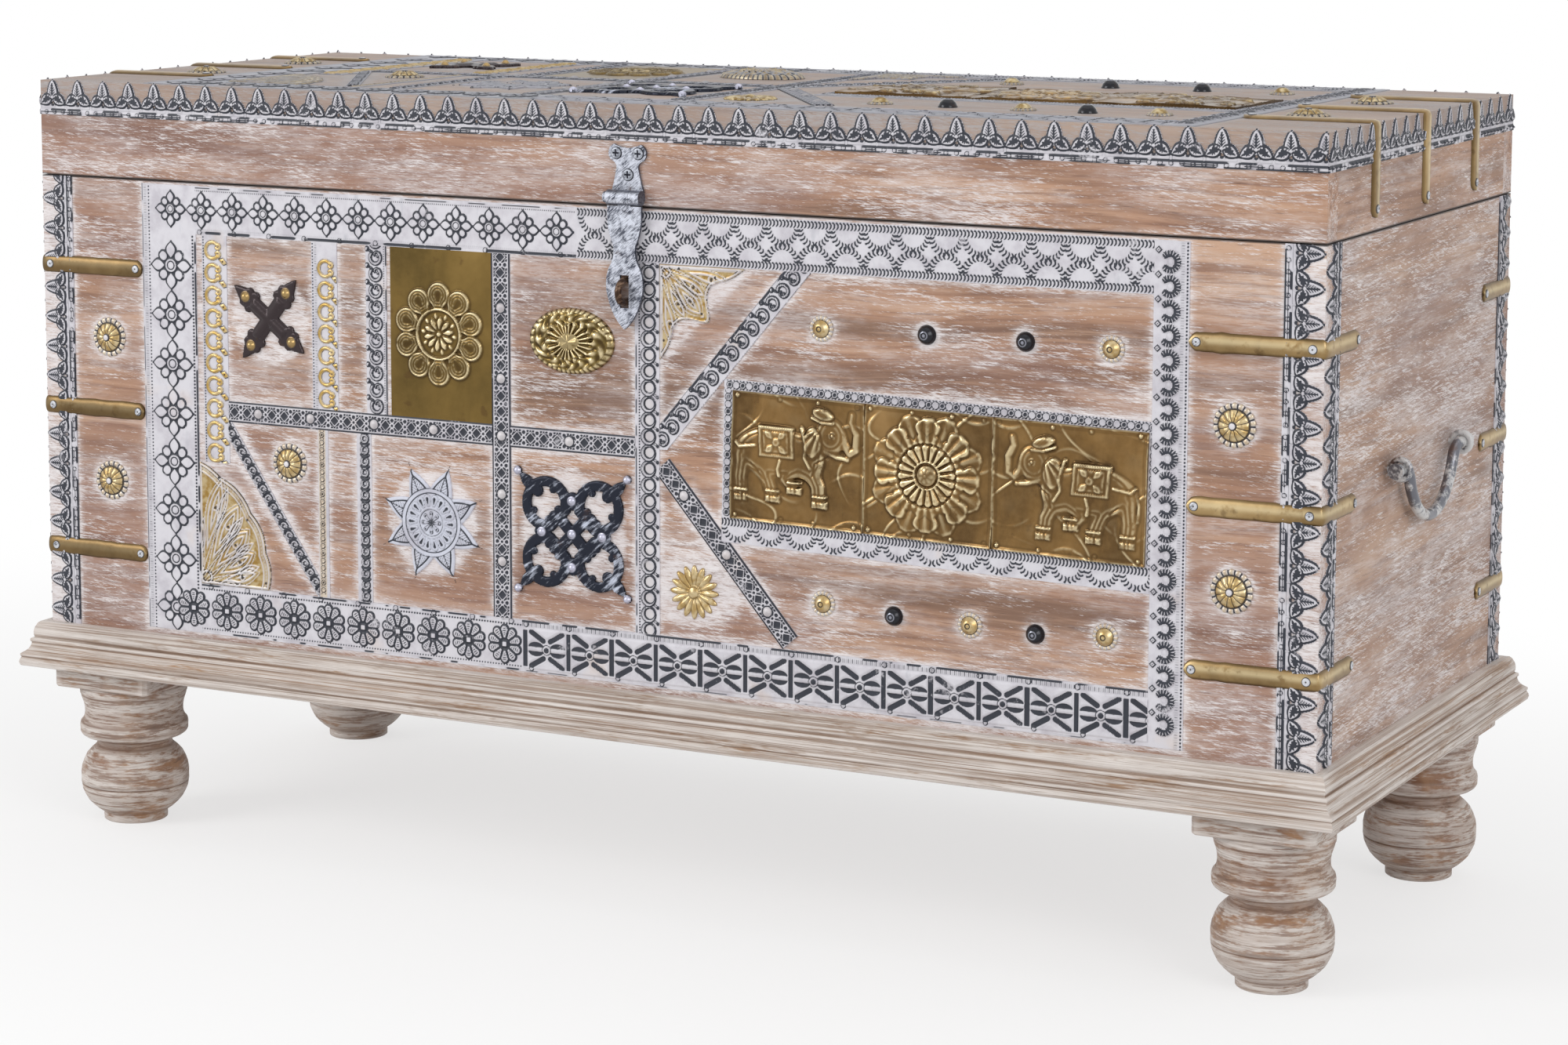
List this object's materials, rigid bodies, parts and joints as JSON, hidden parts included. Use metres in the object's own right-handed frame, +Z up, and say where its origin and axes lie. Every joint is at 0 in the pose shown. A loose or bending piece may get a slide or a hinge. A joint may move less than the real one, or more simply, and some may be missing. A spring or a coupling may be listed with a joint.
{
  "type": "dowry chest",
  "caption": "Board storage chest with hinged flat lid, embossed metal ornament, hasp and staple, bail handles and turned bun feet.",
  "frame": {"origin": "centre of the footprint on the floor, under the middle of the chest", "axes": "+X to the right of someone facing the front, +Y towards the back, +Z up"},
  "size_m": [1.192, 0.488, 0.6558],
  "materials": {
    "limed_wood": "orange-brown wood brushed with worn white wash",
    "whitewashed_wood": "white wash worn to brown wood on the edges",
    "embossed_sheet": "white-washed embossed sheet with blue-black recesses",
    "antique_brass": "aged brass sheet, brushed",
    "gilt_brass": "bright worn brass",
    "whitewashed_iron": "dark iron brushed with white wash",
    "brown_iron": "brown iron",
    "black_iron": "black iron",
    "dark_steel": "dull steel"
  },
  "bodies": {
    "chest": {"back_panel": "limed_wood", "bail_eyes_left": "whitewashed_iron", "bail_eyes_right": "whitewashed_iron", "base_moulding_back": "whitewashed_wood", "base_moulding_front": "whitewashed_wood", "base_moulding_left": "whitewashed_wood", "base_moulding_right": "whitewashed_wood", "corner_leaf_strips": "embossed_sheet", "corner_straps": "antique_brass", "floor_panel": "limed_wood", "foot_back_left": "whitewashed_wood", "foot_back_right": "whitewashed_wood", "foot_bolts": "dark_steel", "foot_front_left": "whitewashed_wood", "foot_front_right": "whitewashed_wood", "front_arabesque": "whitewashed_iron", "front_black_studs": "black_iron", "front_bottom_border": "embossed_sheet", "front_corner_plates": "antique_brass", "front_flower_plate": "antique_brass", "front_frieze_edging": "embossed_sheet", "front_frieze_plates": "antique_brass", "front_gold_studs": "gilt_brass", "front_horseshoe_diagonal": "embossed_sheet", "front_iron_cross": "whitewashed_iron", "front_left_border": "embossed_sheet", "front_oval_boss": "gilt_brass", "front_panel": "limed_wood", "front_right_border": "embossed_sheet", "front_ring_strips": "embossed_sheet", "front_rosettes": "gilt_brass", "front_scroll_strips": "embossed_sheet", "front_star_plaque": "embossed_sheet", "front_studded_bands": "embossed_sheet", "front_top_border": "embossed_sheet", "hinge_body_leaves": "dark_steel", "hinge_body_screws": "dark_steel", "hinge_pins": "dark_steel", "left_side_panel": "limed_wood", "right_side_panel": "limed_wood", "staple": "brown_iron"},
    "lid": {"lid_back_rail": "limed_wood", "lid_border_strips": "embossed_sheet", "lid_front_rail": "limed_wood", "lid_inner_strips": "embossed_sheet", "lid_leaf_strips": "embossed_sheet", "lid_left_rail": "limed_wood", "lid_plaques": "antique_brass", "lid_right_rail": "limed_wood", "lid_straps": "antique_brass", "lid_studs": "gilt_brass", "lid_top_panel": "limed_wood", "hinge_lid_leaves": "dark_steel", "hinge_lid_screws": "dark_steel", "hasp_plate": "whitewashed_iron", "hasp_pin": "whitewashed_iron", "hasp_screws": "whitewashed_iron"},
    "hasp": {"hasp_strap": "whitewashed_iron"},
    "bail_right": {"bail_right": "whitewashed_iron"},
    "bail_left": {"bail_left": "whitewashed_iron"}
  },
  "joints": [
    {"name": "lid_hinge", "type": "hinge", "parent": "chest", "child": "lid", "pos_m": [0, 0.2283, 0.5664], "axis": [-1, 0, 0], "range_deg": [0, 100]},
    {"name": "hasp_hinge", "type": "hinge", "parent": "lid", "child": "hasp", "pos_m": [0, -0.2293, 0.5738], "axis": [-1, 0, 0], "range_deg": [0, 170]},
    {"name": "bail_right_swing", "type": "hinge", "parent": "chest", "child": "bail_right", "pos_m": [0.5852, 0, 0.38217], "axis": [0, -1, 0], "range_deg": [0, 170]},
    {"name": "bail_left_swing", "type": "hinge", "parent": "chest", "child": "bail_left", "pos_m": [-0.5852, 0, 0.38217], "axis": [0, 1, 0], "range_deg": [0, 170]}
  ]
}
